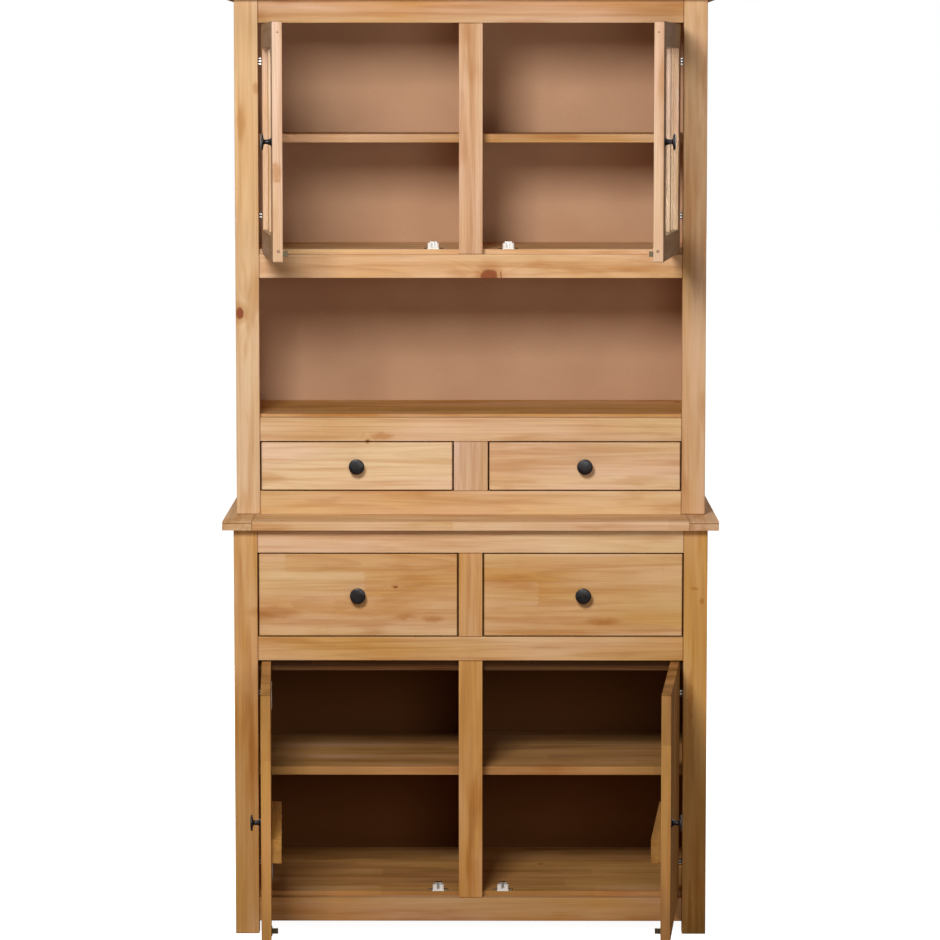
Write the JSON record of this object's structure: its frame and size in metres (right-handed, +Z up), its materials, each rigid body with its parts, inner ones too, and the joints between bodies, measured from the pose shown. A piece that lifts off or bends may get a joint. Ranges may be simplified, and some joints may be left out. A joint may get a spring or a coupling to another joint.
{
  "type": "hutch cabinet",
  "caption": "Tall two-part pine hutch: glazed doors over an open display bay and small drawers, on a wider base with a worktop, drawers and plain doors.",
  "frame": {"origin": "on the floor, under the middle of the bounding box, with the doors standing open", "axes": "+Z up, -Y out of the front, +X to the viewer's right"},
  "size_m": [0.94, 0.7807, 1.8005],
  "materials": {
    "pine": "satin",
    "back_panel": "matte",
    "knob": "satin",
    "steel": "satin",
    "catch": "matte",
    "glass": "clear"
  },
  "bodies": {
    "case": {"lower_front_legs": "pine", "lower_rear_feet": "pine", "lower_side_panels": "pine", "lower_top_rail": "pine", "lower_middle_rail": "pine", "lower_bottom_rail": "pine", "lower_mullions": "pine", "lower_dividers": "pine", "lower_floor": "pine", "lower_drawer_deck": "pine", "lower_shelves": "pine", "lower_back_panel": "back_panel", "worktop_field": "pine", "worktop_ends": "pine", "upper_stiles": "pine", "upper_side_panels": "pine", "upper_top_rail": "pine", "upper_floor_rail": "pine", "upper_counter_rail": "pine", "upper_bottom_rail": "pine", "upper_mullions": "pine", "upper_dividers": "pine", "upper_floor": "pine", "display_shelf": "pine", "upper_base_board": "pine", "upper_shelves": "pine", "upper_back_panel": "back_panel", "top_board": "pine", "drawer_runners": "pine", "shelf_pins": "steel", "door_catches": "catch", "hinge_arms": "steel"},
    "upper_drawer_left": {"upper_drawer_left_front": "pine", "upper_drawer_left_box": "pine", "upper_drawer_left_knob": "knob"},
    "upper_door_left": {"upper_door_left_fittings": "steel", "upper_door_left_knob": "knob", "upper_door_left_frame": "pine", "upper_door_left_glass": "glass"},
    "upper_drawer_right": {"upper_drawer_right_front": "pine", "upper_drawer_right_box": "pine", "upper_drawer_right_knob": "knob"},
    "upper_door_right": {"upper_door_right_fittings": "steel", "upper_door_right_knob": "knob", "upper_door_right_frame": "pine", "upper_door_right_glass": "glass"},
    "lower_drawer_left": {"lower_drawer_left_front": "pine", "lower_drawer_left_box": "pine", "lower_drawer_left_knob": "knob"},
    "lower_door_left": {"lower_door_left_fittings": "steel", "lower_door_left_knob": "knob", "lower_door_left_panel": "pine", "lower_door_left_batten": "pine"},
    "lower_drawer_right": {"lower_drawer_right_front": "pine", "lower_drawer_right_box": "pine", "lower_drawer_right_knob": "knob"},
    "lower_door_right": {"lower_door_right_fittings": "steel", "lower_door_right_knob": "knob", "lower_door_right_panel": "pine", "lower_door_right_batten": "pine"}
  },
  "joints": [
    {"name": "upper_drawer_left_slide", "type": "slide", "parent": "case", "child": "upper_drawer_left", "axis": [0, -1, 0], "range_m": [0, 0.2]},
    {"name": "upper_drawer_right_slide", "type": "slide", "parent": "case", "child": "upper_drawer_right", "axis": [0, -1, 0], "range_m": [0, 0.2]},
    {"name": "lower_drawer_left_slide", "type": "slide", "parent": "case", "child": "lower_drawer_left", "axis": [0, -1, 0], "range_m": [0, 0.27]},
    {"name": "lower_drawer_right_slide", "type": "slide", "parent": "case", "child": "lower_drawer_right", "axis": [0, -1, 0], "range_m": [0, 0.27]},
    {"name": "upper_door_left_hinge", "type": "hinge", "parent": "case", "child": "upper_door_left", "pos_m": [-0.3925, 0.06837, 1.3015], "axis": [0, 0, -1], "range_deg": [-83.4, 11.6]},
    {"name": "upper_door_right_hinge", "type": "hinge", "parent": "case", "child": "upper_door_right", "pos_m": [0.3925, 0.06837, 1.3015], "axis": [0, 0, 1], "range_deg": [-82.3, 12.7]},
    {"name": "lower_door_left_hinge", "type": "hinge", "parent": "case", "child": "lower_door_left", "pos_m": [-0.3925, -0.02363, 0.073], "axis": [0, 0, -1], "range_deg": [-86.7, 8.3]},
    {"name": "lower_door_right_hinge", "type": "hinge", "parent": "case", "child": "lower_door_right", "pos_m": [0.3925, -0.02363, 0.073], "axis": [0, 0, 1], "range_deg": [-84.5, 10.5]}
  ]
}
